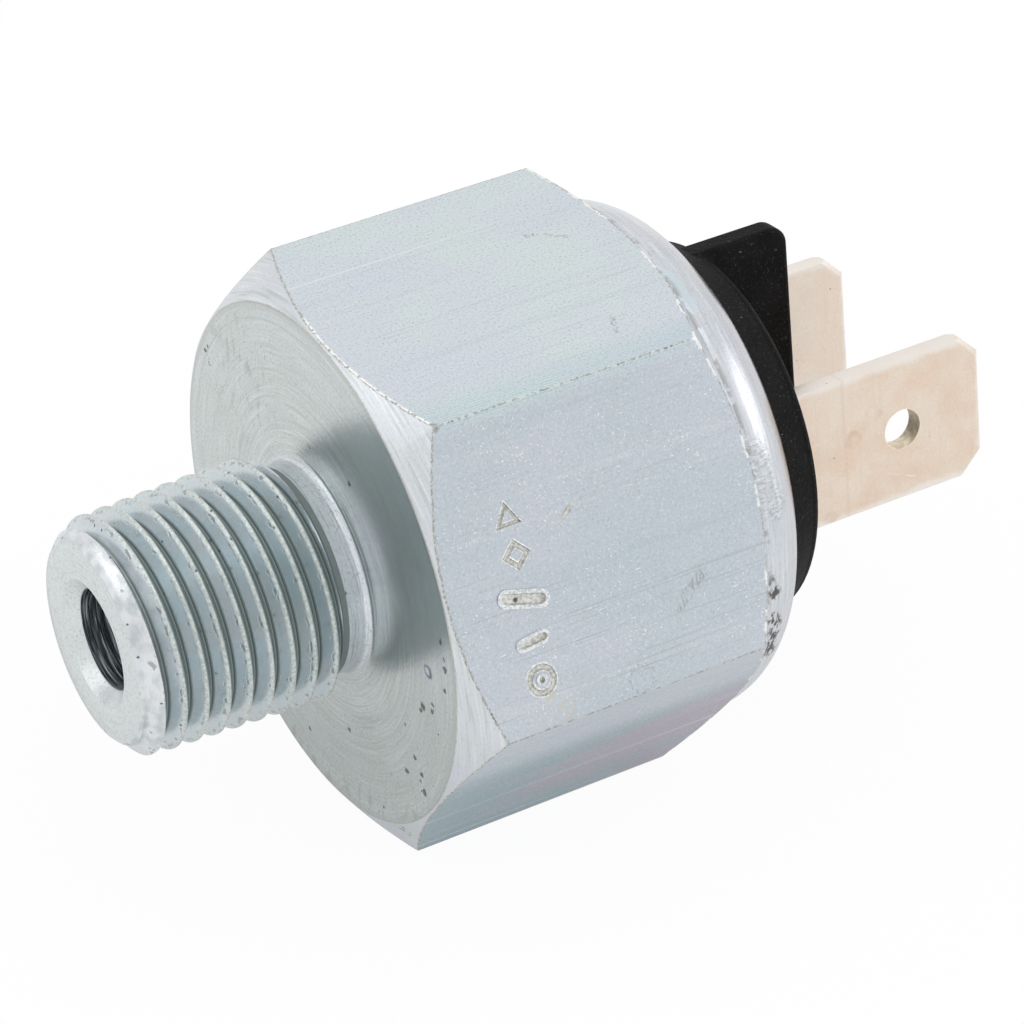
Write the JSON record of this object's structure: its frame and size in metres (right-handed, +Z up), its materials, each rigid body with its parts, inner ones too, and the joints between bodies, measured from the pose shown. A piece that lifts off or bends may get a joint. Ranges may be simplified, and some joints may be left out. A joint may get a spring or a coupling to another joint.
{
  "type": "hydraulic brake light switch",
  "caption": "Hexagonal pressure switch with a taper-threaded hydraulic stub and two blade terminals on a black base, closing the stop lamp circuit under brake pressure.",
  "frame": {"origin": "on the switch's axis, in the front face of the hexagon, the shoulder above the thread", "axes": "+X along the axis towards the blades, the threaded stub points to -X; +Z up, square to the flat it lies on"},
  "size_m": [0.0388, 0.0256, 0.0222],
  "materials": {
    "zinc_plated_steel": "bright bluish zinc plate over turned and drawn steel",
    "black_moulding": "fine matt black moulding",
    "tinned_brass": "dull warm tin plate over brass strip",
    "plain_steel": "plain stamped and turned steel",
    "spring_steel": "bright spring wire",
    "plunger_moulding": "brown phenolic moulding",
    "contact_brass": "stamped brass",
    "contact_silver": "silver rivet",
    "seal_rubber": "black rubber",
    "diaphragm_rubber": "fabric-backed rubber sheet"
  },
  "bodies": {
    "switch_body": {"hex_body": "zinc_plated_steel", "seal_ring": "seal_rubber", "diaphragm": "diaphragm_rubber", "guide_plate": "plain_steel", "return_spring": "spring_steel", "terminal_base": "black_moulding", "base_gasket": "seal_rubber", "terminal_front": "tinned_brass", "terminal_rear": "tinned_brass", "contact_front": "contact_silver", "contact_rear": "contact_silver"},
    "moving_contact": {"plunger": "plunger_moulding", "contact_disc": "contact_brass", "disc_retainer": "plain_steel"}
  },
  "joints": [
    {"name": "contact_travel", "type": "slide", "parent": "switch_body", "child": "moving_contact", "axis": [1, 0, 0], "range_m": [0, 0.0006], "stiffness_N_per_m": 2000, "deforming": ["return_spring", "diaphragm"]}
  ]
}
